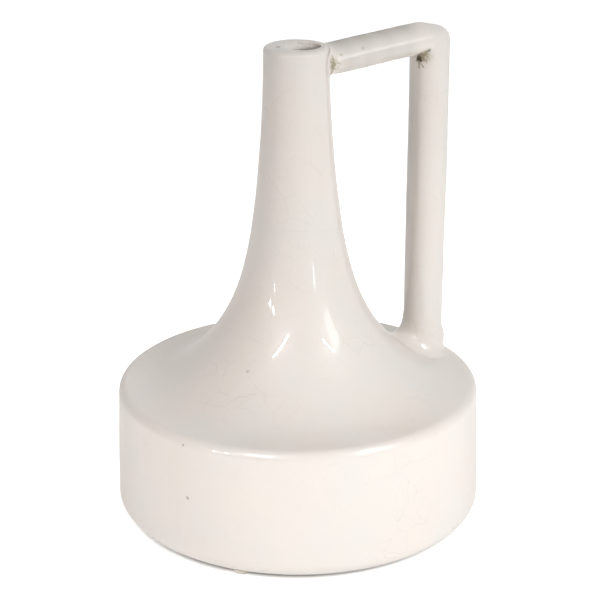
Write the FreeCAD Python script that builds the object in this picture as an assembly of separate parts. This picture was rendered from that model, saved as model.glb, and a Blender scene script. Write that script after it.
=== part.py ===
import FreeCAD, Part
import math
import os

from FreeCAD import Vector

# A glazed pottery bottle: a low drum, a shoulder that sweeps up into a long
# trumpet neck with one mouth, and an angular handle from the neck to the shoulder.
# Millimetres. +Z is up, the origin lies on the pot's axis in the plane that the
# pot stands on, and the handle points along +X.

# Drum
drum_radius = 120.0        # outside, just under the rounded rim
wall_spread = 2.1          # how much further out the wall stands at its foot
foot_undercut = 6.8        # from there in to the flat ring that the pads stick to
foot_rise = 9.8            # height of the rounding from the foot to the wall
drum_height = 86.0         # from the foot's flat ring to the top of the rim
rim_radius = 5.9           # rounding between wall and shoulder
wall = 6.5                 # thickness of the clay
floor_thickness = 7.0
corner_fillet = 4.0        # inside, where floor and ceiling meet the wall
foot_ring_width = 18.3     # flat ring round the shallow recess under the floor
recess_depth = 1.5
recess_slope = 2.0         # run of the recess's sloping edge
floor_seam_rise = 8.4      # luted seam above the inside of the floor
rim_seam_drop = 8.7        # luted seam below the rim's rounding

# Neck and mouth
pot_height = 312.2         # from the foot's flat ring to the top of the lip
lip_radius = 21.2
mouth_radius = 9.2
mouth_shift = 6.2          # the mouth's centre off the pot's axis
mouth_turn = -30.0         # degrees round from the handle, the way of that shift
mouth_depth = 24.0         # from the lip's top to the end of the straight bore
funnel_radius = 11.8       # the mouth's sloping way in, just under the lip's top
funnel_shift = 3.6         # its centre off the pot's axis, the same way
funnel_depth = 4.5
throat_radius = 13.7       # where the hollow of the neck ends, under the mouth
throat_rise = 12.0         # height of the slanted stretch from there to the bore
lip_fillet = 3.2           # outer edge of the lip
mouth_edge = 1.2           # slanted inner edge of the lip
lip_fillet_share = 0.56    # the most of the lip's least width that each edge takes
mouth_edge_share = 0.3
lip_ring_height = 28.0     # the lip member, down to its seam with the neck
flare_seam_height = 107.4  # seam of shoulder and flare above the foot's flat ring
flare_height = 59.6        # the flare, from there to its seam with the neck

# The sweep from the shoulder to the lip is a spline pulled along by these poles: shares
# of the reach from the rim in to the lip's radius, and of the height from the rim up
# to the lip's rounded edge. It leaves the rim level and comes to the lip upright.
sweep_reach_shares = (0, 0.095, 0.244, 0.515, 0.769, 0.912, 0.99, 1, 1)
sweep_height_shares = (0, 0, 0.007, 0.088, 0.234, 0.441, 0.797, 0.939, 1)

# Handle
post_inset = 20.3          # post's axis in from the drum's side, at the rim's height
post_lean = 1.7            # how much further out the post stands at the bar
rod_radius = 13.3          # half thickness of the post, and half width of the bar
bar_half_height = 10.1
bar_drop = 13.35           # bar's centre line below the lip's top, at the pot's axis
bar_climb = 8.0            # rise of the bar's centre line from there to the post
corner_slope = 14.0        # degrees, fall of the bar's top towards the outer corner
corner_radius = 10.0       # rounding of the outer corner
corner_setback = 6.4       # start of the fall, out from the post's inner face

# Slip fillets
bar_collar_reach = 5.0     # along the bar, out from the neck
bar_collar_flare = 2.8     # beyond the bar, at the neck
post_collar_height = 17.0  # above the shoulder, at the post's axis
post_collar_flare = 5.5    # beyond the post, at the shoulder
post_collar_lean = 2.5     # shift of the flared foot towards the neck
flare_waist_share = 0.30   # how much of a fillet's flare is left at its waist
waist_place_share = 0.38   # where that waist lies on a fillet's height

# Pads under the foot
pad_thickness = 2.6
pad_radius = 6.0
pad_inset = 0.3            # pad's edge in from the edge of the flat ring
pad_count = 3
pad_first_angle = 221.0    # degrees round from the handle

overrun = 10.0             # how far cutting shapes run past what they cut
spline_degree = 3

wall_foot_radius = drum_radius + wall_spread
foot_radius = wall_foot_radius - foot_undercut
recess_radius = foot_radius - foot_ring_width
post_offset = drum_radius - post_inset
foot_z = pad_thickness
floor_z = foot_z + floor_thickness
rim_z = foot_z + drum_height
lip_z = foot_z + pot_height
floor_seam_z = floor_z + floor_seam_rise
rim_seam_z = rim_z - rim_radius - rim_seam_drop
flare_seam_z = foot_z + flare_seam_height
neck_seam_z = flare_seam_z + flare_height
lip_seam_z = lip_z - lip_ring_height
lip_land = lip_radius - funnel_radius - funnel_shift
lip_roll = min(lip_fillet, lip_land * lip_fillet_share)
mouth_slant = min(mouth_edge, lip_land * mouth_edge_share)
bore_z = lip_z - mouth_depth
throat_z = bore_z - throat_rise
funnel_z = lip_z - funnel_depth


def spot(radius, height):
    """A point of an outline, in the plane of the handle."""
    return Vector(radius, 0, height)


def line(start, end):
    return Part.LineSegment(start, end).toShape()


def arc(start, middle, end):
    return Part.Arc(start, middle, end).toShape()


def corner_arc(centre_r, centre_z, radius, start_degrees, end_degrees):
    """Arc of a circle in the plane of the handle, by its angles from +X."""
    angles = (start_degrees, (start_degrees + end_degrees) / 2, end_degrees)
    points = []
    for degrees in angles:
        turn = math.radians(degrees)
        points.append(spot(centre_r + radius * math.cos(turn), centre_z + radius * math.sin(turn)))
    return arc(*points)


def turned(edges):
    """Solid of revolution about the pot's axis from a closed outline."""
    face = Part.Face(Part.Wire(edges))
    return face.revolve(Vector(0, 0, 0), Vector(0, 0, 1), 360)


def slab(low, high):
    """Everything between two heights."""
    reach = wall_foot_radius + overrun
    return Part.makeBox(2 * reach, 2 * reach, high - low, Vector(-reach, -reach, low))


# The pot

def sweep_poles():
    reach = drum_radius - rim_radius - lip_radius
    rise = lip_z - lip_roll - rim_z
    poles = []
    for reach_share, height_share in zip(sweep_reach_shares, sweep_height_shares):
        poles.append(spot(lip_radius + reach * (1 - reach_share), rim_z + rise * height_share))
    return poles


def sweep_curve(poles):
    curve = Part.BSplineCurve()
    curve.buildFromPoles(poles, False, spline_degree)
    return curve.toShape()


def foot_arc():
    """Rounding from the foot's flat ring to the wall, upright where it meets the wall."""
    run = wall_foot_radius - foot_radius
    radius = (run * run + foot_rise * foot_rise) / (2 * run)
    start_degrees = -math.degrees(math.asin(foot_rise / radius))
    return corner_arc(wall_foot_radius - radius, foot_z + foot_rise, radius, start_degrees, 0)


def pot_outside():
    rim_start = spot(drum_radius, rim_z - rim_radius)
    hollow_z = foot_z + recess_depth
    edges = [
        line(spot(0, hollow_z), spot(recess_radius - recess_slope, hollow_z)),
        line(spot(recess_radius - recess_slope, hollow_z), spot(recess_radius, foot_z)),
        line(spot(recess_radius, foot_z), spot(foot_radius, foot_z)),
        foot_arc(),
        line(spot(wall_foot_radius, foot_z + foot_rise), rim_start),
        corner_arc(drum_radius - rim_radius, rim_z - rim_radius, rim_radius, 0, 90),
        sweep_curve(sweep_poles()),
        corner_arc(lip_radius - lip_roll, lip_z - lip_roll, lip_roll, 0, 90),
        line(spot(lip_radius - lip_roll, lip_z), spot(0, lip_z)),
        line(spot(0, lip_z), spot(0, hollow_z)),
    ]
    return turned(edges)


def hollow_poles():
    """The sweep's poles, moved in by the wall, from the ceiling to the throat."""
    outer = sweep_poles()
    poles = [spot(drum_radius - wall - corner_fillet, rim_z - wall)]
    for before, pole, after in zip(outer, outer[1:-3], outer[2:-2]):
        along = (after - before).normalize()
        poles.append(spot(pole.x - wall * along.z, pole.z + wall * along.x))
    poles.append(spot(throat_radius, throat_z - throat_rise))
    poles.append(spot(throat_radius, throat_z))
    return poles


def pot_hollow():
    """The room inside the drum and the neck, up to the throat."""
    foot_inner = wall_foot_radius - wall
    rim_inner = drum_radius - wall
    poles = hollow_poles()
    ceiling = poles[0]
    edges = [
        line(spot(0, floor_z), spot(foot_inner - corner_fillet, floor_z)),
        corner_arc(foot_inner - corner_fillet, floor_z + corner_fillet, corner_fillet, -90, 0),
        line(spot(foot_inner, floor_z + corner_fillet), spot(rim_inner, ceiling.z - corner_fillet)),
        corner_arc(ceiling.x, ceiling.z - corner_fillet, corner_fillet, 0, 90),
        sweep_curve(poles),
        line(poles[-1], spot(0, throat_z)),
        line(spot(0, throat_z), spot(0, floor_z)),
    ]
    return turned(edges)


def level_ring(z, radius, shift):
    """A level circle, moved off the pot's axis the way that the mouth is."""
    turn = math.radians(mouth_turn)
    centre = Vector(shift * math.cos(turn), shift * math.sin(turn), z)
    return Part.Wire(Part.Circle(centre, Vector(0, 0, 1), radius).toShape())


def mouth_hollow():
    """From the top down: slanted edge, sloping way in, round bore off the axis, and throat."""
    rings = [
        level_ring(lip_z + overrun, funnel_radius + mouth_slant, funnel_shift),
        level_ring(lip_z, funnel_radius + mouth_slant, funnel_shift),
        level_ring(lip_z - mouth_slant, funnel_radius, funnel_shift),
        level_ring(funnel_z, mouth_radius, mouth_shift),
        level_ring(bore_z, mouth_radius, mouth_shift),
        level_ring(throat_z, throat_radius, 0),
    ]
    return Part.makeLoft(rings, True, True)


outside = pot_outside()
pot = outside.cut(pot_hollow()).cut(mouth_hollow())

# The pot's members, from one luted seam to the next
members = {
    "base_floor": (foot_z, floor_seam_z),
    "drum_wall": (floor_seam_z, rim_seam_z),
    "shoulder": (rim_seam_z, flare_seam_z),
    "neck_flare": (flare_seam_z, neck_seam_z),
    "neck": (neck_seam_z, lip_seam_z),
    "lip_ring": (lip_seam_z, lip_z),
}


# The handle, in the plane y = 0

bar_axis_z = lip_z - bar_drop
bar_slope = bar_climb / (post_offset + post_lean)
post_slope = post_lean / (bar_axis_z + bar_climb - rim_z)


def bar_height(x, side):
    """Height of the bar's centre line, underside or top at a distance from the axis."""
    return bar_axis_z + bar_slope * x + side * bar_half_height


def post_place(z, side):
    """Distance of the post's axis, inner face or outer face from the pot's axis."""
    return post_offset + post_slope * (z - rim_z) + side * rod_radius


def mitre_corner(side):
    """Where the bar's underside meets the post's inner face, or top meets outer face."""
    height = (bar_height(post_place(rim_z, side), side) - bar_slope * post_slope * rim_z)
    height /= 1 - bar_slope * post_slope
    return spot(post_place(height, side), height)


inner_corner = mitre_corner(-1)
outer_corner = mitre_corner(1)


def half_space(start, end, side):
    """A thick block on one side of the upright plane through two points."""
    along = (end - start).normalize()
    across = Vector(-along.z, 0, along.x) * side
    reach = lip_z
    first = start - along * reach
    last = end + along * reach
    outline = [first, last, last + across * reach, first + across * reach, first]
    block = Part.Face(Part.makePolygon(outline))
    block.translate(Vector(0, -rod_radius - overrun, 0))
    return block.extrude(Vector(0, 2 * (rod_radius + overrun), 0))


def bar_section(x, spare):
    """Upright oval section of the bar, larger all round by some spare clay."""
    centre = spot(x, bar_height(x, 0))
    wide = Vector(0, rod_radius + spare, 0)
    tall = Vector(0, 0, bar_half_height + spare)
    oval = Part.Ellipse(centre + wide, centre + tall, centre)
    return Part.Wire(oval.toShape())


def post_section(z, spare, shift):
    """Level round section of the post, larger all round by some spare clay."""
    centre = spot(post_place(z, 0) - shift, z)
    ring = Part.Circle(centre, Vector(0, 0, 1), rod_radius + spare)
    return Part.Wire(ring.toShape())


def rod(section, run):
    """Clay rod of a constant section along a straight run."""
    return Part.Face(section).extrude(run)


def corner_outline():
    """Keeps what lies under the bar's falling top and inside the rounded corner."""
    start_x = post_place(inner_corner.z, -1) + corner_setback
    start = spot(start_x, bar_height(start_x, 1))
    fall = math.radians(corner_slope)
    face_x = post_place(start.z, 1)
    centre_x = face_x - corner_radius
    fall_z = start.z - (centre_x - start.x) * math.tan(fall)
    centre_z = fall_z - corner_radius / math.cos(fall)
    touch = spot(centre_x + corner_radius * math.sin(fall), centre_z + corner_radius * math.cos(fall))
    back = spot(0, bar_height(0, 1))
    far = spot(face_x, centre_z)
    below = spot(post_place(0, 1), 0)
    edges = [
        line(back, start),
        line(start, touch),
        corner_arc(centre_x, centre_z, corner_radius, 90 - corner_slope, 0),
        line(far, below),
        line(below, spot(0, 0)),
        line(spot(0, 0), back),
    ]
    face = Part.Face(Part.Wire(edges))
    face.translate(Vector(0, -rod_radius - overrun, 0))
    return face.extrude(Vector(0, 2 * (rod_radius + overrun), 0))


bar_root_x = lip_radius - lip_roll
bar_run = outer_corner.x + overrun - bar_root_x
post_root_z = rim_z - wall
post_run = outer_corner.z + overrun - post_root_z
bar_rod = rod(bar_section(bar_root_x, 0), spot(bar_run, bar_run * bar_slope))
post_rod = rod(post_section(post_root_z, 0, 0), spot(post_run * post_slope, post_run))
corner_block = corner_outline()

handle_bar = bar_rod.common(half_space(inner_corner, outer_corner, 1)).common(corner_block).cut(outside)
handle_post = post_rod.common(half_space(inner_corner, outer_corner, -1)).common(corner_block).cut(outside)


def bar_collar():
    """Slip round the bar where it meets the neck."""
    root = lip_radius - wall
    waist = lip_radius + bar_collar_reach * waist_place_share
    tip = lip_radius + bar_collar_reach
    sections = [
        bar_section(root, bar_collar_flare),
        bar_section(lip_radius, bar_collar_flare),
        bar_section(waist, bar_collar_flare * flare_waist_share),
        bar_section(tip, 0),
    ]
    below_lip = slab(lip_seam_z, lip_z - lip_roll)
    slip = Part.makeLoft(sections, True, True).common(below_lip)
    return slip.cut(outside).cut(bar_rod)


def post_collar():
    """Slip round the foot of the post, leaning a little towards the neck."""
    waist_z = rim_z + post_collar_height * waist_place_share
    tip_z = rim_z + post_collar_height
    sections = [
        post_section(post_root_z, post_collar_flare, post_collar_lean),
        post_section(rim_z, post_collar_flare, post_collar_lean),
        post_section(waist_z, post_collar_flare * flare_waist_share, post_collar_lean * flare_waist_share),
        post_section(tip_z, 0, 0),
    ]
    slip = Part.makeLoft(sections, True, True)
    return slip.cut(outside).cut(post_rod)


def base_pads():
    """Round stick-on pads, evenly spaced under the foot's flat ring."""
    pads = []
    ring_radius = foot_radius - pad_inset - pad_radius
    for index in range(pad_count):
        turn = math.radians(pad_first_angle + index * 360 / pad_count)
        place = Vector(ring_radius * math.cos(turn), ring_radius * math.sin(turn), 0)
        pads.append(Part.makeCylinder(pad_radius, pad_thickness, place))
    return Part.makeCompound(pads)


nodes = {}
for node, (low, high) in members.items():
    nodes[node] = pot.common(slab(low, high))
nodes["handle_bar"] = handle_bar
nodes["handle_post"] = handle_post
nodes["bar_collar"] = bar_collar()
nodes["post_collar"] = post_collar()
nodes["base_pads"] = base_pads()

os.makedirs("parts", exist_ok=True)
for node, shape in nodes.items():
    shape.exportStep(os.path.join("parts", node + ".step"))
    print(node, len(shape.Solids), "solids,", round(shape.Volume), "cubic mm, valid:", shape.isValid())
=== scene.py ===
import math

import bpy
from mathutils import Matrix, Vector, noise


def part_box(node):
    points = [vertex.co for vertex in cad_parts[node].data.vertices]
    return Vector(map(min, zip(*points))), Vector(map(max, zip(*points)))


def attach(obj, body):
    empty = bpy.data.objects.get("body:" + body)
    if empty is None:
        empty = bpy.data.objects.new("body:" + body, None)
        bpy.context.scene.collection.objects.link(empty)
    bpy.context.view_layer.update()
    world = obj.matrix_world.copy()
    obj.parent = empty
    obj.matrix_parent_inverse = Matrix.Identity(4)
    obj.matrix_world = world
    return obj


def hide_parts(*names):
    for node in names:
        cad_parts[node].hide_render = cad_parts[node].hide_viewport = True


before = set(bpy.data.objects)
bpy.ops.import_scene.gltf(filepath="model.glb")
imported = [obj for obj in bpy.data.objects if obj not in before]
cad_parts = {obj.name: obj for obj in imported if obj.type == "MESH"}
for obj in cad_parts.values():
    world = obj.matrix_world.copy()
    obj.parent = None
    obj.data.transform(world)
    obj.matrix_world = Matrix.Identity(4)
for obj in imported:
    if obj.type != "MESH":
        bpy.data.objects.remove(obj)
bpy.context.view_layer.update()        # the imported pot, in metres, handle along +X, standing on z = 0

mm = 0.001
print("frame loaded:", len(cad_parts), "members")


# Small helpers for meshes

def smoothStep(value):
    held = min(1.0, max(0.0, value))
    return held * held * (3 - 2 * held)


def blendPoints(a, b, share):
    return a + (b - a) * share


def bendPoint(start, corner, end, share):
    # a point of the soft bend that leaves start and reaches end along the lines to the corner
    return start * (1 - share) ** 2 + corner * (2 * share * (1 - share)) + end * share ** 2


def arcPoints(centre, radius, startDegrees, endDegrees, count):
    points = []
    for i in range(count + 1):
        turn = math.radians(startDegrees + (endDegrees - startDegrees) * i / count)
        points.append((centre[0] + radius * math.cos(turn), centre[1] + radius * math.sin(turn)))
    return points


def linePoints(start, end, count):
    return [(start[0] + (end[0] - start[0]) * i / count, start[1] + (end[1] - start[1]) * i / count)
            for i in range(count + 1)]


def splinePoints(poles, count):
    # even cubic spline pulled along its poles, held at both ends
    degree = 3
    spans = len(poles) - degree
    knots = [0] * degree + list(range(spans + 1)) + [spans] * degree
    points = []
    for i in range(count + 1):
        place = min(spans * i / count, spans - 1e-9)
        span = degree + int(place)
        near = [Vector(poles[span - degree + j]) for j in range(degree + 1)]
        for level in range(1, degree + 1):
            for j in range(degree, level - 1, -1):
                low = knots[span - degree + j]
                high = knots[span + 1 + j - level]
                share = (place - low) / (high - low)
                near[j] = near[j - 1] * (1 - share) + near[j] * share
        points.append((near[degree].x, near[degree].y))
    return points


def skinMesh(name, rings, closeStart, closeEnd):
    # quads between rings of equal length, with a fan on each end that is closed
    verts = [point for ring in rings for point in ring]
    around = len(rings[0])
    faces = []
    for row in range(len(rings) - 1):
        for i in range(around):
            j = (i + 1) % around
            here, there = row * around, (row + 1) * around
            faces.append((here + i, here + j, there + j, there + i))
    if closeStart is not None:
        verts.append(closeStart)
        faces += [((i + 1) % around, i, len(verts) - 1) for i in range(around)]
    if closeEnd is not None:
        verts.append(closeEnd)
        last = (len(rings) - 1) * around
        faces += [(last + i, last + (i + 1) % around, len(verts) - 1) for i in range(around)]
    mesh = bpy.data.meshes.new(name)
    mesh.from_pydata([tuple(v) for v in verts], [], faces)
    mesh.validate()
    mesh.shade_smooth()
    piece = bpy.data.objects.new(name, mesh)
    bpy.context.scene.collection.objects.link(piece)
    return piece


# The pot's skin: outside, lip, mouth and inside in one closed sheet, in millimetres

pot = {
    "drumRadius": 120.0,
    "wallFootRadius": 122.1,
    "footRadius": 115.3,
    "footRise": 9.8,         # of the rounded, undercut edge of the foot
    "drumHeight": 86.0,
    "rimRadius": 5.9,
    "wall": 6.5,
    "floor": 7.0,
    "innerFillet": 4.0,
    "recessRadius": 97.0,
    "recessDepth": 1.5,
    "recessSlope": 2.0,
    "lipRadius": 21.2,
    "lipRoll": 3.2,
    "mouthRadius": 9.2,
    "mouthShift": 6.2,       # off the pot's axis, towards mouthTurn
    "mouthTurn": -30.0,
    "mouthDepth": 24.0,
    "funnelRadius": 11.8,    # the sloping way into the mouth
    "funnelShift": 3.6,
    "funnelDepth": 3.0,
    "crestSpan": 1.8,        # soft rounding between the lip's top and the funnel
    "crestOut": 0.7,         # share of that span on the lip's top
    "throatRadius": 13.7,
    "throatRise": 12.0,
    "footShift": 0.9,        # of the flat foot ring, off the pot's axis
    # poles of the sweep from the drum's rim to the lip, as shares of its run and its height
    "sweepReach": (0, 0.095, 0.244, 0.515, 0.769, 0.912, 0.99, 1, 1),
    "sweepRise": (0, 0, 0.007, 0.088, 0.234, 0.441, 0.797, 0.939, 1),
    "around": 232,
    "unevenness": 0.22,      # of the outside, by hand
    "unevenSpan": 55.0,
    "unevenSquash": 1.6,     # the swell is flatter than it is wide
    "unevenFrom": 2.0,       # above the foot's flat ring
}

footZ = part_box("base_pads")[1].z / mm
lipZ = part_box("lip_ring")[1].z / mm
rimZ = footZ + pot["drumHeight"]


def sweepPoles():
    start = pot["drumRadius"] - pot["rimRadius"]
    reach = start - pot["lipRadius"]
    rise = lipZ - pot["lipRoll"] - rimZ
    return [(start - reach * a, rimZ + rise * b)
            for a, b in zip(pot["sweepReach"], pot["sweepRise"])]


def hollowPoles():
    outer = [Vector(p) for p in sweepPoles()]
    poles = [(pot["drumRadius"] - pot["wall"] - pot["innerFillet"], rimZ - pot["wall"])]
    for before, pole, after in zip(outer, outer[1:-3], outer[2:-2]):
        along = (after - before).normalized()
        poles.append((pole.x - pot["wall"] * along.y, pole.y + pot["wall"] * along.x))
    throatZ = lipZ - pot["mouthDepth"] - pot["throatRise"]
    poles.append((pot["throatRadius"], throatZ - pot["throatRise"]))
    poles.append((pot["throatRadius"], throatZ))
    return poles


def outsideOutline():
    drum, rim = pot["drumRadius"], pot["rimRadius"]
    run = pot["wallFootRadius"] - pot["footRadius"]
    footRound = (run ** 2 + pot["footRise"] ** 2) / (2 * run)
    footCentre = (pot["wallFootRadius"] - footRound, footZ + pot["footRise"])
    footTurn = -math.degrees(math.asin(pot["footRise"] / footRound))
    lipRoll = pot["lipRoll"]
    hollowZ = footZ + pot["recessDepth"]
    inner = pot["recessRadius"] - pot["recessSlope"]
    points = linePoints((inner / 8, hollowZ), (inner, hollowZ), 7)
    points += linePoints((inner, hollowZ), (pot["recessRadius"], footZ), 4)[1:]
    points += linePoints((pot["recessRadius"], footZ), (pot["footRadius"], footZ), 6)[1:]
    points += arcPoints(footCentre, footRound, footTurn, 0, 12)[1:]
    points += linePoints(points[-1], (drum, rimZ - rim), 36)[1:]
    points += arcPoints((drum - rim, rimZ - rim), rim, 0, 90, 14)[1:]
    points += splinePoints(sweepPoles(), 190)[1:]
    points += arcPoints((pot["lipRadius"] - lipRoll, lipZ - lipRoll), lipRoll, 0, 90, 8)[1:]
    return points


def insideOutline():
    footInner = pot["wallFootRadius"] - pot["wall"]
    fillet = pot["innerFillet"]
    floorZ = footZ + pot["floor"]
    poles = hollowPoles()
    points = splinePoints(poles, 70)[::-1]
    ceiling = poles[0]
    points += arcPoints((ceiling[0], ceiling[1] - fillet), fillet, 90, 0, 6)[1:]
    points += linePoints(points[-1], (footInner, floorZ + fillet), 12)[1:]
    points += arcPoints((footInner - fillet, floorZ + fillet), fillet, 0, -90, 6)[1:]
    points += linePoints(points[-1], (footInner / 10, floorZ), 12)[1:]
    return points


def mouthOutline():
    # stations of radius, height and shift, from the lip's top down to the throat
    span = pot["crestSpan"]
    topRadius = pot["lipRadius"] - pot["lipRoll"]
    crest = Vector((pot["funnelRadius"], lipZ, pot["funnelShift"]))
    mouth = Vector((pot["mouthRadius"], lipZ - pot["funnelDepth"], pot["mouthShift"]))
    down = (mouth - crest).normalized()
    start = Vector((crest.x + span * pot["crestOut"], lipZ, crest.z))
    turnIn = crest + down * span
    turnDown = mouth - down * span
    bore = mouth - Vector((0, span, 0))
    stations = [blendPoints(Vector((topRadius, lipZ, 0)), start, i / 6) for i in range(1, 7)]
    stations += [bendPoint(start, crest, turnIn, i / 8) for i in range(1, 9)]
    stations += [blendPoints(turnIn, turnDown, i / 4) for i in range(1, 5)]
    stations += [bendPoint(turnDown, mouth, bore, i / 8) for i in range(1, 9)]
    boreEnd = Vector((mouth.x, lipZ - pot["mouthDepth"], mouth.z))
    stations += [blendPoints(bore, boreEnd, i / 8) for i in range(1, 9)]
    throat = Vector((pot["throatRadius"], boreEnd.y - pot["throatRise"], 0))
    stations += [blendPoints(boreEnd, throat, i / 5) for i in range(1, 5)]
    return stations


def unevenPush(x, y, z):
    # a slow swell of the clay, none on the foot's flat ring
    span = pot["unevenSpan"]
    swell = noise.noise(Vector((x / span, y / span, z / span * pot["unevenSquash"])))
    return pot["unevenness"] * swell * smoothStep((z - footZ) / pot["footRise"])


def potRing(radius, z, shift, uneven):
    # foot ring and mouth are shifted along one line, the turn of the mouth
    turn = math.radians(pot["mouthTurn"])
    shiftX, shiftY = shift * math.cos(turn), shift * math.sin(turn)
    ring = []
    for i in range(pot["around"]):
        angle = 2 * math.pi * i / pot["around"]
        x, y = radius * math.cos(angle), radius * math.sin(angle)
        push = unevenPush(x, y, z) if uneven else 0
        grown = 1 + (push - pot["unevenness"] * uneven) / max(radius, 1)
        ring.append(Vector((x * grown + shiftX, y * grown + shiftY, z)) * mm)
    return ring


def footShift(z):
    # the foot was cut a little off the drum's axis
    return pot["footShift"] * (1 - smoothStep((z - footZ) / pot["footRise"]))


def makePot():
    outside = outsideOutline()
    inside = insideOutline()
    rings = []
    for r, z in outside:
        rings.append(potRing(r, z, footShift(z), 1 if z > footZ + pot["unevenFrom"] else 0))
    rings += [potRing(*station, 0) for station in mouthOutline()]
    rings += [potRing(r, z, 0, 0) for r, z in inside]
    floorCentre = Vector((0, 0, inside[-1][1])) * mm
    turn = math.radians(pot["mouthTurn"])
    shift = footShift(footZ)
    baseCentre = Vector((shift * math.cos(turn), shift * math.sin(turn), outside[0][1])) * mm
    return skinMesh("pot_skin", rings, baseCentre, floorCentre)


potSkin = makePot()
print("pot skin:", len(potSkin.data.vertices), "points")


# What the handle stands on: the pot's outside as radius by height

outline = outsideOutline()
wallTop = [p for p in outline if p[1] > rimZ - pot["rimRadius"]]


def potRadius(z):
    above = [p for p in wallTop if p[1] >= z]
    below = [p for p in wallTop if p[1] < z]
    if not above:
        return wallTop[-1][0]
    if not below:
        return above[0][0]
    a, b = below[-1], above[0]
    return a[0] + (b[0] - a[0]) * (z - a[1]) / (b[1] - a[1])


def shoulderZ(radius):
    for a, b in zip(wallTop, wallTop[1:]):
        if b[0] <= radius <= a[0]:
            return a[1] + (b[1] - a[1]) * (a[0] - radius) / max(a[0] - b[0], 1e-9)
    return wallTop[0][1]


# The handle's skin: bar, corner and post in one sheet, with slip drawn out at both ends

handle = {
    "postOffset": 99.7,      # of the post's centre line at the drum's rim, from the pot's axis
    "postLean": 1.7,         # outward, up to the bar
    "rodRadius": 13.3,       # of the post, and half the width of the bar
    "barHalfHeight": 10.1,
    "barDrop": 13.35,        # of the bar's centre line, under the lip's top
    "barClimb": 8.0,         # of the bar, from the pot's axis to the post
    "cornerSlope": 14.0,     # degrees that the bar's top falls past the corner
    "cornerRadius": 10.0,
    "cornerSetback": 6.4,    # of the crest, outward from the inner corner
    "crestEase": 4.0,        # rounding of the bar's top where it starts to fall
    "cornerEase": 5.0,       # rounding of the crease along the mitre
    "outerSpare": 20,        # how far the two outlines run on past the corner, for the rays
    "centreSpare": 40,
    "barSlip": 7.0,          # reach of the slip out along the bar
    "barSlipSpread": 4.6,    # around the bar's sides on the neck
    "barSlipUnder": 1.4,
    "barSlipOnLip": 2.2,
    "barSlipCut": 0.55,      # share of the reach that is missing under the bar
    "barSlipTop": 0.05,      # how far its upper edge stays under the lip's top
    "wrinkle": 0.28,         # of the slip at the neck, worked by a finger
    "wrinkleSpan": 2.6,
    "wrinkleDrawn": 0.45,    # the wrinkles run up and down
    "plainTop": 6.0,         # height over the bar's centre line from which there are none
    # sides as cosines: where each starts, and over how much it comes in
    "topSide": (0.5, 0.4),
    "underSide": (0.25, 0.5),
    "edgeSide": (-0.55, 1.1),
    "postSlip": 15.9,        # reach of the slip up the post, on its outer side
    "postSlipNeckRise": 9.0,  # more reach on the side of the neck
    "postSlipFrontRise": 5.5,
    "postSlipSpread": 2.4,   # out onto the shoulder
    "postSlipNeckSpread": 13.5,
    "slipHollow": 0.10,      # share of the rise at which the slip bends out
    "slipEdge": 3.0,         # how far the smoothed slip stands out under its upper end
    "slipEdgeTurn": 50.0,    # side on which it stands out most, in degrees
    "slipStart": 0.4,        # above the slip, where the post's last level ring lies
    "around": 96,
    "neckRows": 12,
    "barRows": 44,
    "cornerRows": 44,
    "postRows": 90,
    "shoulderRows": 24,
    "calmRows": (22, 30),    # without unevenness at either end
    "crumpledRows": (4, 18, 8),  # of the wrinkles: their rise, their end, their fall
    "unevenness": 0.35,
    "unevenSpan": 38.0,
}

sunk = 0.08                  # how far slip reaches into the pot's skin, so that no gap shows

barAxisZ = lipZ - handle["barDrop"]
barSlope = handle["barClimb"] / (handle["postOffset"] + handle["postLean"])
postSlope = handle["postLean"] / (barAxisZ + handle["barClimb"] - rimZ)


def barZ(x, side):
    return barAxisZ + barSlope * x + side * handle["barHalfHeight"]


def postX(z, side):
    return handle["postOffset"] + postSlope * (z - rimZ) + side * handle["rodRadius"]


def cornerSpot(side):
    z = (barZ(postX(rimZ, side), side) - barSlope * postSlope * rimZ) / (1 - barSlope * postSlope)
    return Vector((postX(z, side), z))


def outerOutline():
    # top of the bar, its fall at the corner, the rounding and the post's outer face
    inner = cornerSpot(-1)
    startX = inner.x + handle["cornerSetback"]
    fall = math.radians(handle["cornerSlope"])
    faceX = postX(barZ(startX, 1), 1)
    centreX = faceX - handle["cornerRadius"]
    centreZ = barZ(startX, 1) - (centreX - startX) * math.tan(fall)
    centreZ -= handle["cornerRadius"] / math.cos(fall)
    arc = arcPoints((centreX, centreZ), handle["cornerRadius"], 90 - handle["cornerSlope"], 0, 24)
    # the bar's top bends into its fall over a few millimetres
    ease, spare = handle["crestEase"], handle["outerSpare"]
    before = Vector((startX - ease, barZ(startX - ease, 1)))
    crest = Vector((startX, barZ(startX, 1)))
    after = Vector((startX + ease, crest.y - ease * math.tan(fall)))
    points = linePoints((inner.x - spare, barZ(inner.x - spare, 1)), before, 10)
    points += [tuple(bendPoint(before, crest, after, i / 8)) for i in range(1, 9)]
    points += linePoints(points[-1], arc[0], 16)[1:]
    points += arc[1:]
    points += linePoints(arc[-1], (postX(inner.y - spare, 1), inner.y - spare), 20)[1:]
    return points


def centreOutline():
    # the centre lines of bar and post, joined by a short rounding
    corner = cornerSpot(0)
    ease, spare = handle["cornerEase"], handle["centreSpare"]
    start = Vector((corner.x - ease, barZ(corner.x - ease, 0)))
    end = Vector((postX(corner.y - ease, 0), corner.y - ease))
    points = linePoints((corner.x - spare, barZ(corner.x - spare, 0)), start, 10)
    points += [tuple(bendPoint(start, corner, end, i / 12)) for i in range(1, 13)]
    points += linePoints(end, (postX(corner.y - spare, 0), corner.y - spare), 10)[1:]
    return points


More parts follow.
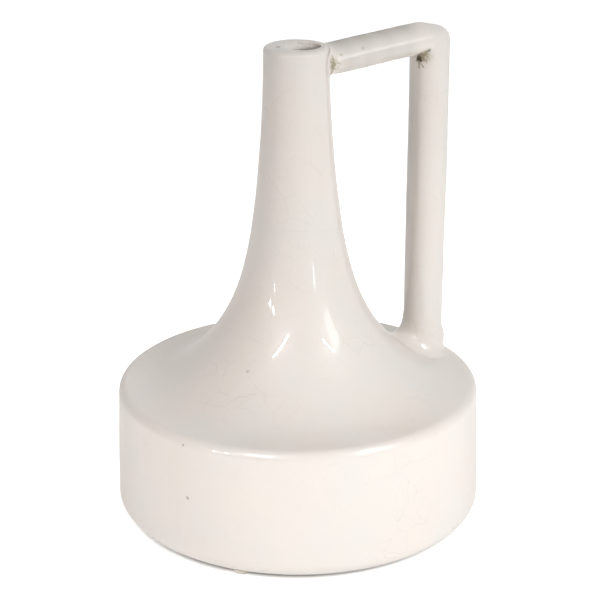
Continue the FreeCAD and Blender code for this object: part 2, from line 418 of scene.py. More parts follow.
def rayReach(origin, angle, points):
    # how far a ray from the inner corner runs to an outline
    direction = Vector((math.cos(angle), math.sin(angle)))
    for a, b in zip(points, points[1:]):
        p, q = Vector(a) - origin, Vector(b) - origin
        sideP = direction.x * p.y - direction.y * p.x
        sideQ = direction.x * q.y - direction.y * q.x
        if sideP * sideQ <= 0 and sideP != sideQ:
            hit = p + (q - p) * (sideP / (sideP - sideQ))
            if hit.dot(direction) > 0:
                return hit.dot(direction)
    return 0


def sideShare(cosine, side):
    start, span = side
    return smoothStep((cosine - start) / span)


def handUneven(point):
    span = handle["unevenSpan"]
    return handle["unevenness"] * noise.noise(Vector(point) / span + Vector((7.3, 1.9, 4.1)))


def slipWrinkle(point):
    span = handle["wrinkleSpan"]
    drawn = Vector((point.x, point.y, point.z * handle["wrinkleDrawn"]))
    return handle["wrinkle"] * (0.5 + noise.noise(drawn / span))


def barPoint(x, angle, spare):
    # an angle of 0 is the top of the bar, a quarter turn its side towards -Y
    half = handle["barHalfHeight"] + spare
    wide = handle["rodRadius"] + spare
    return Vector((x, -wide * math.sin(angle), barZ(x, 0) + half * math.cos(angle)))


def postPoint(z, angle, spare):
    wide = handle["rodRadius"] + spare
    return Vector((postX(z, 0) + wide * math.cos(angle), -wide * math.sin(angle), z))


def barRoot(angle, spare):
    # where a line along the bar meets the neck or the lip
    x = pot["lipRadius"]
    for _ in range(12):
        p = barPoint(x, angle, spare)
        p.z = min(p.z, lipZ - handle["barSlipTop"])
        reach = potRadius(p.z) - sunk
        x = math.sqrt(max(reach ** 2 - p.y ** 2, 1))
    p.x = x
    return p


def neckSlip(angle, share):
    # quarter-round slip from the neck out onto the bar, thin where it climbs the lip
    root = barRoot(angle, 0)
    onTop = sideShare(math.cos(angle), handle["topSide"])
    under = sideShare(-math.cos(angle), handle["underSide"])
    spread = blendPoints(handle["barSlipSpread"], handle["barSlipOnLip"], onTop)
    foot = barRoot(angle, blendPoints(spread, handle["barSlipUnder"], under))
    tip = barPoint(root.x + handle["barSlip"] * (1 - handle["barSlipCut"] * under), angle, 0)
    # the bend leaves the neck along its own round
    bend = root.copy()
    bend.x = min((foot.x ** 2 + foot.y ** 2 - root.y * foot.y) / foot.x, tip.x - 2)
    return bendPoint(foot, bend, tip, share)


def slipRise(angle):
    # the slip's reach up the post, an angle of 0 being its outer side
    inward = (1 - math.cos(angle)) / 2
    return (handle["postSlip"] + handle["postSlipNeckRise"] * inward
            + handle["postSlipFrontRise"] * math.sin(angle) ** 2)


def shoulderSlip(angle, share):
    # slip from the post out onto the shoulder, wider and higher towards the neck; its edge
    # stands out within the first quarter of the way down
    spread = handle["postSlipSpread"] + handle["postSlipNeckSpread"] * (1 - math.cos(angle)) / 2
    root = postPoint(rimZ, angle, 0)
    for _ in range(4):
        root = postPoint(shoulderZ(math.hypot(root.x, root.y)), angle, 0)
    foot = postPoint(root.z, angle, spread)
    foot.z = shoulderZ(math.hypot(foot.x, foot.y)) - sunk
    facing = math.cos(angle - math.radians(handle["slipEdgeTurn"]))
    edge = handle["slipEdge"] * sideShare(facing, handle["edgeSide"])
    tip = postPoint(root.z + slipRise(angle), angle, edge * min(share * 4, 1))
    return bendPoint(tip, root + (tip - root) * handle["slipHollow"], foot, share)


def makeHandle():
    inner = cornerSpot(-1)
    outer, centre = outerOutline(), centreOutline()
    angles = [2 * math.pi * i / handle["around"] for i in range(handle["around"])]
    neckRows, barRows, cornerRows = handle["neckRows"], handle["barRows"], handle["cornerRows"]
    postRows, shoulderRows = handle["postRows"], handle["shoulderRows"]
    rings = [[neckSlip(a, i / neckRows) for a in angles] for i in range(neckRows + 1)]
    # from the slip's uneven edge to level sections along the bar
    slipEnd = rings[-1]
    for i in range(1, barRows + 1):
        rings.append([barPoint(blendPoints(slipEnd[k].x, inner.x, i / barRows), a, 0)
                      for k, a in enumerate(angles)])
    # round the inner corner, from the bar to the post
    for i in range(1, cornerRows + 1):
        turn = math.radians(90 - 90 * i / cornerRows)
        nearReach = rayReach(inner, turn, centre)
        farReach = rayReach(inner, turn, outer)
        ring = []
        for a in angles:
            lift = math.cos(a)
            reach = nearReach + lift * ((farReach - nearReach) if lift > 0 else nearReach)
            side = -handle["rodRadius"] * math.sin(a)
            ring.append(Vector((inner.x + reach * math.cos(turn), side,
                                inner.y + reach * math.sin(turn))))
        rings.append(ring)
    slipTop = [shoulderSlip(a, 0).z + handle["slipStart"] for a in angles]
    for i in range(1, postRows):
        rings.append([postPoint(blendPoints(inner.y, slipTop[k], i / postRows), a, 0)
                      for k, a in enumerate(angles)])
    rings += [[shoulderSlip(a, i / shoulderRows) for a in angles] for i in range(shoulderRows + 1)]
    # the hand's unevenness dies away at both slips, where the neck's slip is wrinkled instead
    calmStart, calmEnd = handle["calmRows"]
    crumpleIn, crumpleEnd, crumpleOut = handle["crumpledRows"]
    plainTop = handle["plainTop"]
    shaped = []
    for row, ring in enumerate(rings):
        away = smoothStep(row / calmStart) * smoothStep((len(rings) - row) / calmEnd)
        crumpled = smoothStep(row / crumpleIn) * smoothStep((crumpleEnd - row) / crumpleOut)
        middle = sum(ring, Vector()) / len(ring)
        moved = []
        for p in ring:
            low = smoothStep((barZ(p.x, 0) + plainTop - p.z) / plainTop)
            push = handUneven(p) * away - slipWrinkle(p) * crumpled * low
            moved.append((p + (p - middle).normalized() * push) * mm)
        shaped.append(moved)
    return skinMesh("handle_skin", shaped, None, None)


handleSkin = makeHandle()
print("handle skin:", len(handleSkin.data.vertices), "points")


# Stick-on pads under the foot

padShape = {
    "radius": 6.0,
    "ringRadius": 110.3,
    "count": 3,
    "firstAngle": 221.0,
    "edge": 0.7,             # rounding of the lower edge
    "topEdge": 0.42,
    "crown": 0.06,           # rise of the underside's middle off the ground
    "wobble": 0.12,          # of the cut edge
    "around": 40,
}


def makePad(name, angle):
    place = Vector((math.cos(angle), math.sin(angle), 0)) * padShape["ringRadius"]
    radius, edge, topEdge = padShape["radius"], padShape["edge"], padShape["topEdge"]
    crown, wobble = padShape["crown"], padShape["wobble"]
    padOutline = [(radius * 0.4, crown), (radius * 0.8, crown / 3)]
    padOutline += arcPoints((radius - edge, edge), edge, -90, 0, 5)
    padOutline += arcPoints((radius - topEdge, footZ - topEdge), topEdge, 0, 90, 4)
    rings = []
    for r, z in padOutline:
        ring = []
        for i in range(padShape["around"]):
            turn = 2 * math.pi * i / padShape["around"]
            push = noise.noise(Vector((math.cos(turn) * 2, math.sin(turn) * 2, angle * 9)))
            far = r * (1 + wobble * push / radius) - wobble
            ring.append((place + Vector((far * math.cos(turn), far * math.sin(turn), z))) * mm)
        rings.append(ring)
    lowest, highest = place + Vector((0, 0, crown)), place + Vector((0, 0, footZ))
    return skinMesh(name, rings, lowest * mm, highest * mm)


pads = []
for index in range(padShape["count"]):
    padTurn = math.radians(padShape["firstAngle"] + index * 360 / padShape["count"])
    pads.append(makePad("base_pad_" + str(index + 1), padTurn))
print("pads:", len(pads))


# Helpers for shader trees

def addNode(tree, kind, **settings):
    node = tree.nodes.new(kind)
    for key, value in settings.items():
        setattr(node, key, value)
    return node


def plug(tree, source, node, socket):
    target = node.inputs[socket]
    if isinstance(source, bpy.types.NodeSocket):
        tree.links.new(source, target)
    else:
        target.default_value = source


def mathNode(tree, operation, *values, clamp=False):
    node = addNode(tree, "ShaderNodeMath", operation=operation, use_clamp=clamp)
    for i, value in enumerate(values):
        plug(tree, value, node, i)
    return node.outputs[0]


def vectorNode(tree, operation, *values):
    node = addNode(tree, "ShaderNodeVectorMath", operation=operation)
    for i, value in enumerate(values):
        plug(tree, value, node, i)
    return node


def scaledVector(tree, vector, share):
    node = vectorNode(tree, "SCALE", vector)
    plug(tree, share, node, "Scale")
    return node.outputs[0]


def seenByRays(tree):
    # 1 for what the camera sees, straight, mirrored or through clear things, 0 for light on things
    path = addNode(tree, "ShaderNodeLightPath")
    seen = mathNode(tree, "MAXIMUM", path.outputs["Is Camera Ray"], path.outputs["Is Glossy Ray"])
    return mathNode(tree, "MAXIMUM", seen, path.outputs["Is Transmission Ray"])


def mixColour(tree, share, low, high):
    node = addNode(tree, "ShaderNodeMix", data_type="RGBA")
    plug(tree, share, node, "Factor")
    plug(tree, low, node, 6)
    plug(tree, high, node, 7)
    return node.outputs[2]


def rangeNode(tree, value, fromLow, fromHigh, toLow, toHigh):
    node = addNode(tree, "ShaderNodeMapRange", interpolation_type="SMOOTHSTEP")
    for i, item in enumerate((value, fromLow, fromHigh, toLow, toHigh)):
        plug(tree, item, node, i)
    return node.outputs[0]


def noiseNode(tree, vector, scale, detail, roughness=0.5, distortion=0.0):
    node = addNode(tree, "ShaderNodeTexNoise")
    plug(tree, vector, node, "Vector")
    plug(tree, scale, node, "Scale")
    plug(tree, detail, node, "Detail")
    plug(tree, roughness, node, "Roughness")
    plug(tree, distortion, node, "Distortion")
    return node


def newGroup(name, inputs, outputs):
    group = bpy.data.node_groups.new(name, "ShaderNodeTree")
    for label, kind, value in inputs:
        socket = group.interface.new_socket(label, in_out="INPUT", socket_type=kind)
        if value is not None:
            socket.default_value = value
    for label, kind in outputs:
        group.interface.new_socket(label, in_out="OUTPUT", socket_type=kind)
    return group, addNode(group, "NodeGroupInput"), addNode(group, "NodeGroupOutput")


def placeGroup(tree, group, **values):
    node = addNode(tree, "ShaderNodeGroup", node_tree=group)
    for key, value in values.items():
        plug(tree, value, node, key)
    return node


# Crackle: a net of fine lines that comes and goes over the surface

crackle = {
    "warpScale": 0.8,        # of the cells' own scale, as patchScale
    "warpReach": 0.006,      # how far lines bend, in metres
    "patchScale": 0.45,      # of the patches in which lines show
    "patchEdge": 0.2,
}


def makeCrackleGroup():
    group, given, result = newGroup(
        "crackleNet",
        [("Vector", "NodeSocketVector", None), ("Cell", "NodeSocketFloat", 0.012),
         ("Width", "NodeSocketFloat", 0.02), ("Cover", "NodeSocketFloat", 0.5)],
        [("Mask", "NodeSocketFloat")])
    scale = mathNode(group, "DIVIDE", 1.0, given.outputs["Cell"])
    warpScale = mathNode(group, "MULTIPLY", scale, crackle["warpScale"])
    warp = noiseNode(group, given.outputs["Vector"], warpScale, 3.0)
    shifted = vectorNode(group, "MULTIPLY_ADD", warp.outputs["Color"],
                         (crackle["warpReach"],) * 3, given.outputs["Vector"])
    cells = addNode(group, "ShaderNodeTexVoronoi", feature="DISTANCE_TO_EDGE")
    plug(group, shifted.outputs[0], cells, "Vector")
    plug(group, scale, cells, "Scale")
    line = rangeNode(group, cells.outputs["Distance"], 0.0, given.outputs["Width"], 1.0, 0.0)
    patchScale = mathNode(group, "MULTIPLY", scale, crackle["patchScale"])
    patch = noiseNode(group, given.outputs["Vector"], patchScale, 2.0)
    edge = mathNode(group, "SUBTRACT", 1.0, given.outputs["Cover"])
    full = mathNode(group, "ADD", edge, crackle["patchEdge"])
    seen = rangeNode(group, patch.outputs["Fac"], edge, full, 0.0, 1.0)
    plug(group, mathNode(group, "MULTIPLY", line, seen), result, "Mask")
    return group


# Spot: one ragged mark at a place on the surface, firm or fading at its edge

def makeSpotGroup():
    group, given, result = newGroup(
        "raggedSpot",
        [("Vector", "NodeSocketVector", None), ("Place", "NodeSocketVector", None),
         ("Radius", "NodeSocketFloat", 0.002), ("Rag", "NodeSocketFloat", 0.0),
         ("Fade", "NodeSocketFloat", 0.5), ("Grain", "NodeSocketFloat", 600.0)],
        [("Mask", "NodeSocketFloat")])
    away = vectorNode(group, "DISTANCE", given.outputs["Vector"], given.outputs["Place"])
    share = mathNode(group, "DIVIDE", away.outputs["Value"], given.outputs["Radius"])
    grain = noiseNode(group, given.outputs["Vector"], given.outputs["Grain"], 3.0, 0.55)
    centred = mathNode(group, "SUBTRACT", grain.outputs["Fac"], 0.5)
    torn = mathNode(group, "MULTIPLY", centred, given.outputs["Rag"])
    firm = mathNode(group, "SUBTRACT", 1.0, given.outputs["Fade"])
    mask = rangeNode(group, mathNode(group, "ADD", share, torn), firm, 1.0, 1.0, 0.0)
    plug(group, mask, result, "Mask")
    return group


# Split: one crooked hair crack between two places

def makeSplitGroup():
    group, given, result = newGroup(
        "hairSplit",
        [("Vector", "NodeSocketVector", None), ("Start", "NodeSocketVector", None),
         ("End", "NodeSocketVector", None), ("Width", "NodeSocketFloat", 0.0004),
         ("Sway", "NodeSocketFloat", 0.0008), ("Crook", "NodeSocketFloat", 420.0)],
        [("Mask", "NodeSocketFloat")])
    sway = noiseNode(group, given.outputs["Vector"], given.outputs["Crook"], 3.0)
    centred = vectorNode(group, "SUBTRACT", sway.outputs["Color"], (0.5, 0.5, 0.5)).outputs[0]
    swung = scaledVector(group, centred, given.outputs["Sway"])
    moved = vectorNode(group, "ADD", given.outputs["Vector"], swung).outputs[0]
    # the nearest place of the line from start to end
    run = vectorNode(group, "SUBTRACT", given.outputs["End"], given.outputs["Start"]).outputs[0]
    here = vectorNode(group, "SUBTRACT", moved, given.outputs["Start"]).outputs[0]
    along = vectorNode(group, "DOT_PRODUCT", here, run).outputs["Value"]
    whole = vectorNode(group, "DOT_PRODUCT", run, run).outputs["Value"]
    near = scaledVector(group, run, mathNode(group, "DIVIDE", along, whole, clamp=True))
    away = vectorNode(group, "DISTANCE", here, near).outputs["Value"]
    plug(group, rangeNode(group, away, 0.0, given.outputs["Width"], 1.0, 0.0), result, "Mask")
    return group


crackleNet = makeCrackleGroup()
raggedSpot = makeSpotGroup()
hairSplit = makeSplitGroup()


# Glaze of the pot and of the handle

glaze = {
    "colour": (0.845, 0.79, 0.735, 1),  # drifts towards a warm and a cool tone
    "warm": (0.855, 0.783, 0.72, 1),
    "cool": (0.822, 0.783, 0.738, 1),
    "cloudScale": 14.0,      # of the change between warm and cool
    "cloudSteps": (0.42, 0.62),
    "driftScale": 45.0,      # of how strongly it shows
    "driftSteps": (0.35, 0.65),
    "driftShares": (0.25, 0.85),
    "crackColour": (0.50, 0.44, 0.39, 1),
    "fineCrackle": 0.11,     # strength of the lines
    "fineNet": {"Cell": 0.0055, "Width": 0.035, "Cover": 0.5},
    "coarseCrackle": 0.21,
    "coarseNet": {"Cell": 0.017, "Width": 0.014, "Cover": 0.55},
    "spotGrain": 700.0,
    "clay": (0.62, 0.53, 0.43, 1),
    "clayPale": (0.72, 0.64, 0.54, 1),
    "clayGrit": 1400.0,
    "edgeRise": 0.9,         # of the glaze's lower edge over the foot, in mm
    "edgeRagged": 120.0,     # scale of its raggedness
    "edgeWander": 0.0012,    # in metres, as the next one
    "edgeSteps": (-0.0002, 0.0004),
    "soot": (0.055, 0.038, 0.02, 1),
    "brown": (0.27, 0.21, 0.14, 1),
    "olive": (0.30, 0.27, 0.13, 1),
    "haze": (0.52, 0.47, 0.36, 1),
    # paintedShade is painted shade: it darkens the bar's top and its lower front, where less light
    # falls
    "paintedShade": (0.58, 0.54, 0.49, 1),
    "ash": (0.20, 0.19, 0.18, 1),
    "roughness": 0.38,
    "roughnessDrift": 0.06,
    "markDull": 0.6,         # how dull a mark is, where bare clay is one
    "dullRoughness": 0.5,    # more roughness where it is dull
    "specular": 0.22,
    "coat": 1.0,
    "coatRoughness": 0.035,
    "edgeSlope": (0.4, 0.82),  # how much it turns away while the gloss fades
    "edgeGloss": 0.06,       # how much of the gloss is left where the glaze turns away
    "peelScale": 95.0,
    "peelHeight": 0.00005,   # of the glaze's slow ripple, in metres
    "crackDepth": 0.00012,
    "markDepth": 0.00012,
}

# marks on the pot: place in mm, radius in mm, raggedness, fade, colour, strength
potMarks = [
    ((-110.0, -46.9, 83.8), 1.2, 0.8, 0.6, "brown", 0.5),
    ((-109.7, -50.5, 48.4), 1.5, 0.8, 0.6, "brown", 0.65),
    ((-54.4, -29.9, 115.3), 1.5, 1.0, 0.8, "haze", 0.75),
    ((-11.6, 2.6, 314.8), 1.9, 1.2, 0.5, "brown", 0.7),
    ((-3.0, 10.2, 314.8), 1.0, 0.8, 0.6, "haze", 0.6),
    ((-6.6, 4.5, 314.3), 0.9, 0.8, 0.6, "haze", 0.7),
    ((7.1, 8.8, 313.9), 1.0, 0.8, 0.7, "haze", 0.6),
    ((8.6, 7.6, 313.3), 1.0, 0.8, 0.7, "brown", 0.4),
]

# marks on the handle, in the same columns: the first eight are painted shade on the bar, the rest are
# stains, soot and glaze marks at the two joints
handleStainsAndShade = [
    # painted shade along the bar's lower front
    ((31.5, -13.3, 299.5), 14.0, 0.2, 1.0, "paintedShade", 0.55),
    ((46.3, -13.5, 300.8), 14.0, 0.2, 1.0, "paintedShade", 0.55),
    ((62.0, -13.1, 302.0), 14.0, 0.2, 1.0, "paintedShade", 0.55),
    ((76.0, -12.0, 303.0), 12.0, 0.2, 1.0, "paintedShade", 0.55),
    # painted shade over the bar's top
    ((31.5, -1.0, 314.0), 15.0, 0.2, 1.0, "paintedShade", 0.85),
    ((46.3, -1.0, 315.2), 15.0, 0.2, 1.0, "paintedShade", 0.85),
    ((62.0, -1.0, 316.4), 15.0, 0.2, 1.0, "paintedShade", 0.85),
    ((77.0, -1.0, 317.5), 15.0, 0.2, 1.0, "paintedShade", 0.85),
    ((90.2, -8.0, 298.2), 10.0, 0.8, 1.0, "haze", 0.45),
    ((91.9, -9.4, 298.0), 5.5, 1.0, 0.9, "haze", 0.6),
    ((89.4, -6.8, 297.6), 5.6, 1.6, 0.8, "brown", 0.8),
    ((88.1, -8.1, 300.4), 3.4, 1.4, 0.8, "brown", 0.7),
    ((91.6, -9.2, 300.7), 3.2, 1.4, 0.8, "olive", 0.8),
    ((88.9, -5.2, 296.3), 2.6, 1.2, 0.6, "soot", 0.95),
    ((89.4, -6.6, 296.2), 2.1, 1.2, 0.6, "soot", 0.9),
    ((93.1, -10.9, 302.6), 1.8, 0.8, 0.6, "ash", 0.8),
    ((19.2, -12.9, 303.2), 5.2, 1.4, 1.0, "haze", 0.6),
    ((18.2, -13.2, 303.8), 4.8, 1.8, 0.9, "olive", 0.85),
    ((18.0, -12.8, 300.6), 4.0, 1.8, 0.8, "brown", 0.7),
    ((18.4, -11.8, 297.6), 2.6, 1.6, 0.8, "olive", 0.7),
    ((22.4, -12.5, 300.2), 3.0, 1.6, 0.9, "haze", 0.45),
    ((42.3, -11.4, 310.4), 1.6, 1.4, 0.7, "haze", 0.45),
    ((25.7, -11.9, 308.1), 1.6, 1.4, 0.7, "haze", 0.55),
]

# hair cracks: start and end in mm, width in mm, colour, strength
handleSplits = [
    ((89.2, -5.5, 295.4), (89.2, -5.6, 290.3), 0.75, "brown", 0.85),
    ((89.2, -5.5, 294.6), (91.0, -8.3, 291.2), 0.75, "brown", 0.8),
    ((89.8, -6.8, 296.8), (92.0, -9.5, 295.4), 0.6, "brown", 0.6),
    ((18.6, -12.4, 307.8), (17.7, -13.8, 302.4), 1.7, "olive", 0.8),
    ((17.7, -13.8, 302.8), (18.6, -11.5, 296.6), 1.7, "olive", 0.85),
    ((17.8, -13.6, 304.4), (18.4, -12.2, 298.0), 0.9, "brown", 0.8),
    ((21.2, -13.2, 304.1), (24.8, -13.4, 302.7), 0.8, "haze", 0.75),
    ((19.7, -13.3, 302.0), (22.2, -11.7, 298.8), 0.8, "haze", 0.75),
]


def metres(place):
    return tuple(c * mm for c in place)


def glazeMaterial(name, stainsAndShade, splits, bareBelow):
    material = bpy.data.materials.new(name)
    material.use_nodes = True
    tree = material.node_tree
    shader = tree.nodes["Principled BSDF"]
    where = addNode(tree, "ShaderNodeTexCoord").outputs["Object"]

    # the glaze's own tones
    cloud = noiseNode(tree, where, glaze["cloudScale"], 3.0).outputs["Fac"]
    drift = noiseNode(tree, where, glaze["driftScale"], 3.0, distortion=0.4).outputs["Fac"]
    tint = mixColour(tree, rangeNode(tree, cloud, *glaze["cloudSteps"], 0.0, 1.0),
                     glaze["cool"], glaze["warm"])
    colour = mixColour(tree, rangeNode(tree, drift, *glaze["driftSteps"], *glaze["driftShares"]),
                       glaze["colour"], tint)

    # crackle, stains, painted shade and hair cracks
    fine = placeGroup(tree, crackleNet, Vector=where, **glaze["fineNet"])
    coarse = placeGroup(tree, crackleNet, Vector=where, **glaze["coarseNet"])
    fineLines = mathNode(tree, "MULTIPLY", fine.outputs["Mask"], glaze["fineCrackle"])
    coarseLines = mathNode(tree, "MULTIPLY", coarse.outputs["Mask"], glaze["coarseCrackle"])
    lines = mathNode(tree, "ADD", fineLines, coarseLines, clamp=True)
    colour = mixColour(tree, lines, colour, glaze["crackColour"])
    placed = []
    for place, radius, rag, fade, tone, strength in stainsAndShade:
        spot = placeGroup(tree, raggedSpot, Vector=where, Place=metres(place),
                          Radius=radius * mm, Rag=rag, Fade=fade, Grain=glaze["spotGrain"])
        placed.append((spot, tone, strength))
    for start, end, width, tone, strength in splits:
        split = placeGroup(tree, hairSplit, Vector=where, Start=metres(start), End=metres(end),
                           Width=width * mm)
        placed.append((split, tone, strength))
    stainAndShadeMask = 0.0
    for mark, tone, strength in placed:
        share = mathNode(tree, "MULTIPLY", mark.outputs["Mask"], strength)
        colour = mixColour(tree, share, colour, glaze[tone])
        stainAndShadeMask = mathNode(tree, "MAXIMUM", stainAndShadeMask, share)

    # bare clay under the glaze's lower edge
    bare = 0.0
    if bareBelow:
        height = addNode(tree, "ShaderNodeSeparateXYZ")
        plug(tree, where, height, 0)
        ragged = noiseNode(tree, where, glaze["edgeRagged"], 3.0)
        wander = mathNode(tree, "MULTIPLY", ragged.outputs["Fac"], glaze["edgeWander"])
        level = mathNode(tree, "ADD", height.outputs["Z"], wander)
        low, high = (bareBelow + step for step in glaze["edgeSteps"])
        bare = rangeNode(tree, level, low, high, 1.0, 0.0)
        grit = noiseNode(tree, where, glaze["clayGrit"], 3.0)
        clay = mixColour(tree, grit.outputs["Fac"], glaze["clay"], glaze["clayPale"])
        colour = mixColour(tree, bare, colour, clay)
    plug(tree, colour, shader, "Base Color")

    # roughness and gloss; stains and painted shade spots alike make the glaze duller
    dull = mathNode(tree, "MAXIMUM", mathNode(tree, "MULTIPLY", stainAndShadeMask, glaze["markDull"]), bare)
    driftRough = mathNode(tree, "MULTIPLY", drift, glaze["roughnessDrift"])
    dullRough = mathNode(tree, "MULTIPLY", dull, glaze["dullRoughness"])
    rough = mathNode(tree, "ADD", glaze["roughness"], driftRough)
    plug(tree, mathNode(tree, "ADD", rough, dullRough, clamp=True), shader, "Roughness")
    turned = addNode(tree, "ShaderNodeLayerWeight")
    plug(tree, 0.5, turned, "Blend")
    gloss = rangeNode(tree, turned.outputs["Facing"], *glaze["edgeSlope"],
                      glaze["coat"], glaze["coat"] * glaze["edgeGloss"])
    whole = mathNode(tree, "SUBTRACT", 1.0, dull)
    plug(tree, mathNode(tree, "MULTIPLY", whole, gloss), shader, "Coat Weight")
    plug(tree, glaze["coatRoughness"], shader, "Coat Roughness")
    plug(tree, glaze["specular"], shader, "Specular IOR Level")

    # ripple, crack lines, and pits under stains and painted shade spots
    peel = noiseNode(tree, where, glaze["peelScale"], 2.0)
    ripple = mathNode(tree, "MULTIPLY", peel.outputs["Fac"], glaze["peelHeight"])
    cracks = mathNode(tree, "MULTIPLY", lines, glaze["crackDepth"])
    pits = mathNode(tree, "MULTIPLY", stainAndShadeMask, glaze["markDepth"])
    skin = mathNode(tree, "SUBTRACT", mathNode(tree, "SUBTRACT", ripple, cracks), pits)
    bump = addNode(tree, "ShaderNodeBump")
    plug(tree, skin, bump, "Height")
    plug(tree, 1.0, bump, "Strength")
    plug(tree, 1.0, bump, "Distance")
    plug(tree, bump.outputs["Normal"], shader, "Normal")
    return material


felt = {
    "fuzzScale": 2600.0,
    "fuzzHeight": 0.0002,
    "pale": (0.83, 0.80, 0.73, 1),
    "dark": (0.74, 0.70, 0.61, 1),
    "grime": (0.55, 0.47, 0.34, 1),
    "grimeScale": 260.0,
    "grimeSteps": (0.5, 0.75),
    "grimeMost": 0.5,
    "roughness": 0.85,
}


def padMaterial():
    material = bpy.data.materials.new("padFelt")
    material.use_nodes = True
    tree = material.node_tree
    shader = tree.nodes["Principled BSDF"]
    where = addNode(tree, "ShaderNodeTexCoord").outputs["Object"]
    fuzz = noiseNode(tree, where, felt["fuzzScale"], 4.0, 0.7).outputs["Fac"]
    grime = noiseNode(tree, where, felt["grimeScale"], 2.0).outputs["Fac"]
    clean = mixColour(tree, fuzz, felt["pale"], felt["dark"])
    soiled = rangeNode(tree, grime, *felt["grimeSteps"], 0.0, felt["grimeMost"])
    plug(tree, mixColour(tree, soiled, clean, felt["grime"]), shader, "Base Color")
    plug(tree, felt["roughness"], shader, "Roughness")
    bump = addNode(tree, "ShaderNodeBump")
    plug(tree, mathNode(tree, "MULTIPLY", fuzz, felt["fuzzHeight"]), bump, "Height")
    plug(tree, bump.outputs["Normal"], shader, "Normal")
    return material


potGlaze = glazeMaterial("potGlaze", potMarks, [], (footZ + glaze["edgeRise"]) * mm)
handleGlaze = glazeMaterial("handleGlaze", handleStainsAndShade, handleSplits, 0)
padFelt = padMaterial()
potSkin.data.materials.append(potGlaze)
handleSkin.data.materials.append(handleGlaze)
for pad in pads:
    pad.data.materials.append(padFelt)

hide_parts("base_floor", "drum_wall", "shoulder", "neck_flare", "neck", "lip_ring")
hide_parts("handle_bar", "handle_post", "bar_collar", "post_collar")
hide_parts("base_pads")
for piece in (potSkin, handleSkin, *pads):
    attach(piece, "root")
print("materials and slots done")


# Floor, world and lamps

stage = {
    "floorSize": 14.0,
    "floorColour": (0.80, 0.80, 0.80, 1),
    # the floor's glow for the camera, so that it is white far from the pot's shade
    "underLift": 0.0,
    "nearLift": 0.80,
    "farLift": 1.0,
    "liftSteps": (0.110, 0.118, 0.135, 0.26),  # from the pot's axis: under to near, near to far
    "skyGlow": 0.0,          # of the white room on the glaze
    "glintAim": (-0.0245, -0.0424, 0.128),     # the front of the flare, where most glints lie
}


def makeFloor():
    half = stage["floorSize"] / 2
    mesh = bpy.data.meshes.new("floor")
    corners = [(-half, -half, 0), (half, -half, 0), (half, half, 0), (-half, half, 0)]
    mesh.from_pydata(corners, [], [(0, 1, 2, 3)])
    floor = bpy.data.objects.new("floor", mesh)
    bpy.context.scene.collection.objects.link(floor)
    material = bpy.data.materials.new("floorPale")
    material.use_nodes = True
    tree = material.node_tree
    shader = tree.nodes["Principled BSDF"]
    plug(tree, stage["floorColour"], shader, "Base Color")
    plug(tree, 0.9, shader, "Roughness")
    plug(tree, 0.0, shader, "Specular IOR Level")
    where = addNode(tree, "ShaderNodeTexCoord").outputs["Object"]
    away = vectorNode(tree, "LENGTH", where).outputs["Value"]
    steps = stage["liftSteps"]
    near = rangeNode(tree, away, *steps[:2], stage["underLift"], stage["nearLift"])
    far = rangeNode(tree, away, *steps[2:], 0.0, stage["farLift"] - stage["nearLift"])
    lift = mathNode(tree, "ADD", near, far)
    glow = addNode(tree, "ShaderNodeEmission")
    plug(tree, mathNode(tree, "MULTIPLY", seenByRays(tree), lift), glow, "Strength")
    both = addNode(tree, "ShaderNodeAddShader")
    tree.links.new(shader.outputs[0], both.inputs[0])
    tree.links.new(glow.outputs[0], both.inputs[1])
    tree.links.new(both.outputs[0], tree.nodes["Material Output"].inputs["Surface"])
    mesh.materials.append(material)


def makeWorld():
    world = bpy.data.worlds.new("studio")
    bpy.context.scene.world = world
    world.use_nodes = True
    tree = world.node_tree
    back = tree.nodes["Background"]
    strength = addNode(tree, "ShaderNodeMix")
    plug(tree, seenByRays(tree), strength, 0)
    plug(tree, stage["skyGlow"], strength, 2)
    plug(tree, 1.0, strength, 3)
    plug(tree, (1, 1, 1, 1), back, "Color")
    plug(tree, strength.outputs[0], back, "Strength")


# Lamps by the directions of their two ends, as (turn, rise) in degrees: turn runs from the
# camera's side to its right. The soft ones light the glaze, the narrow ones glint in it.
softLamps = {
    "keyRight": {
        "ends": ((25.0, 38.0), (65.0, 38.0)),
        "away": 2.4, "wide": 1.3, "aimZ": 0.14, "glow": 2.55
    },
    "overhead": {
        "ends": ((-90.0, 70.0), (90.0, 70.0)),
        "away": 2.2, "wide": 1.4, "aimZ": 0.14, "glow": 2.3
    },
    "nearRight": {
        "ends": ((25.0, 22.0), (60.0, 22.0)),
        "away": 0.85, "wide": 0.35, "aimZ": 0.07, "glow": 3.4
    },
    "nearSide": {
        "ends": ((75.0, 20.0), (110.0, 20.0)),
        "away": 0.85, "wide": 0.35, "aimZ": 0.07, "glow": 0.95
    },
    "nearLeft": {
        "ends": ((-80.0, 18.0), (-45.0, 18.0)),
        "away": 0.85, "wide": 0.35, "aimZ": 0.07, "glow": 2.8, "tint": (1.0, 0.925, 0.89)
    },
    "cardLeft": {
        "ends": ((-55.0, 5.0), (0.0, 5.0)),
        "away": 0.42, "wide": 0.10, "aimZ": 0.02, "glow": 1.86
    },
    "backLow": {
        "ends": ((150.0, 14.0), (210.0, 14.0)),
        "away": 0.5, "wide": 0.16, "aimZ": 0.08, "glow": 1.5
    },
    "cardFront": {
        "ends": ((5.0, 5.0), (60.0, 5.0)),
        "away": 0.42, "wide": 0.10, "aimZ": 0.02, "glow": 1.38
    },
}
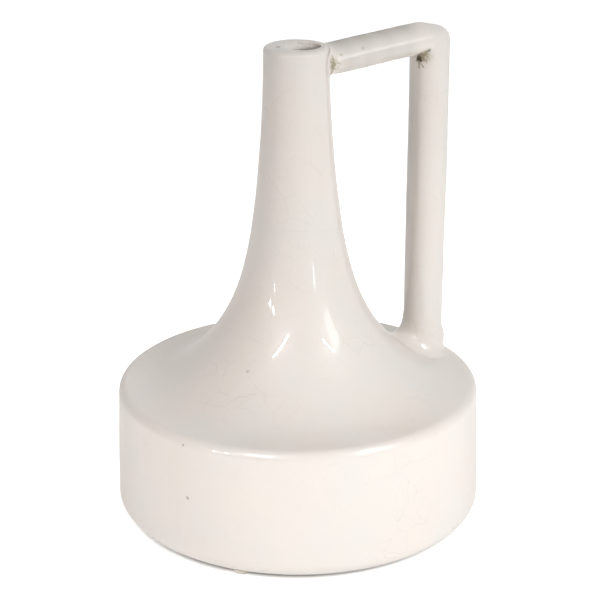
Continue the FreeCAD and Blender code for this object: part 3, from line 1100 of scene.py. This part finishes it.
glintLamps = {
    "barLeft": {
        "ends": ((-17.0, 34.8), (-38.8, 43.0)),
        "away": 1.7, "wide": 0.017, "glow": 600.0
    },
    "barRight": {
        "ends": ((42.6, 34.2), (60.0, 37.4)),
        "away": 1.7, "wide": 0.015, "glow": 600.0
    },
    "patchRight": {
        "ends": ((52.0, 20.0), (68.0, 33.0)),
        "away": 1.7, "wide": 0.36, "glow": 3.0
    },
    "slitRight": {
        "ends": ((36.3, 4.4), (35.4, 10.2)),
        "away": 1.9, "wide": 0.04, "glow": 20.0
    },
    "slitLeft": {
        "ends": ((-48.6, 8.2), (-46.0, 11.0)),
        "away": 1.9, "wide": 0.03, "glow": 32.0
    },
    "dotLow": {
        "ends": ((-54.0, 13.8), (-51.6, 16.4)),
        "away": 1.9, "wide": 0.07, "glow": 75.0
    },
    "dotHigh": {
        "ends": ((-47.0, 17.8), (-43.6, 20.6)),
        "away": 1.9, "wide": 0.07, "glow": 75.0
    },
}


def wayTo(turnAndRise):
    turn = math.radians(shot["turn"] - turnAndRise[0])
    rise = math.radians(turnAndRise[1])
    level = math.cos(rise)
    return Vector((-math.sin(turn) * level, -math.cos(turn) * level, math.sin(rise)))


def makeLamp(name, facts, aim, glints):
    start, end = (aim + wayTo(way) * facts["away"] for way in facts["ends"])
    centre = (start + end) / 2
    ahead = (centre - aim).normalized()
    along = (end - start).normalized()
    along = (along - ahead * along.dot(ahead)).normalized()
    lamp = bpy.data.lights.new(name, "AREA")
    lamp.shape = "RECTANGLE"
    lamp.size, lamp.size_y = (end - start).length, facts["wide"]
    lamp.energy = facts["glow"] * lamp.size * lamp.size_y * math.pi
    lamp.color = facts.get("tint", (1, 1, 1))
    piece = bpy.data.objects.new(name, lamp)
    axes = Matrix((along, ahead.cross(along), ahead)).transposed()
    piece.matrix_world = Matrix.Translation(centre) @ axes.to_4x4()
    piece.visible_glossy = glints
    piece.visible_diffuse = not glints
    bpy.context.scene.collection.objects.link(piece)


# The camera, fitted to the outline of the pot in the photograph

shot = {
    "distance": 1.160,       # level, from the pot's axis
    "height": 0.5864,        # over the floor
    "turn": 30.0,            # degrees that it stands off the square view of the handle's plane
    "aim": 0.085,            # degrees to the right of the pot's axis
    "pitch": 20.884,         # degrees down
    "roll": -0.236,
    "lens": 112.8,
    "sensor": 36.0,
}


def makeCamera():
    turn = math.radians(shot["turn"])
    heading = turn + math.radians(shot["aim"])
    pitch, roll = math.radians(shot["pitch"]), math.radians(shot["roll"])
    level = Vector((math.sin(heading), math.cos(heading), 0))
    ahead = level * math.cos(pitch) - Vector((0, 0, math.sin(pitch)))
    right = Vector((math.cos(heading), -math.sin(heading), 0))
    up = right.cross(ahead)
    tiltedRight = right * math.cos(roll) + up * math.sin(roll)
    tiltedUp = up * math.cos(roll) - right * math.sin(roll)
    data = bpy.data.cameras.new("camera")
    data.lens, data.sensor_width = shot["lens"], shot["sensor"]
    data.sensor_fit = "HORIZONTAL"
    data.dof.use_dof = False
    data.clip_start, data.clip_end = 0.05, 100
    piece = bpy.data.objects.new("camera", data)
    axes = Matrix((tiltedRight, tiltedUp, -ahead)).transposed()
    away = shot["distance"]
    place = Vector((-math.sin(turn) * away, -math.cos(turn) * away, shot["height"]))
    piece.matrix_world = Matrix.Translation(place) @ axes.to_4x4()
    bpy.context.scene.collection.objects.link(piece)
    bpy.context.scene.camera = piece


makeFloor()
makeWorld()
for lampName, lampFacts in softLamps.items():
    makeLamp(lampName, lampFacts, Vector((0, 0, lampFacts["aimZ"])), False)
for lampName, lampFacts in glintLamps.items():
    makeLamp(lampName, lampFacts, Vector(stage["glintAim"]), True)
makeCamera()
bpy.context.scene.view_settings.view_transform = "Standard"
print("stage, lamps and camera done")
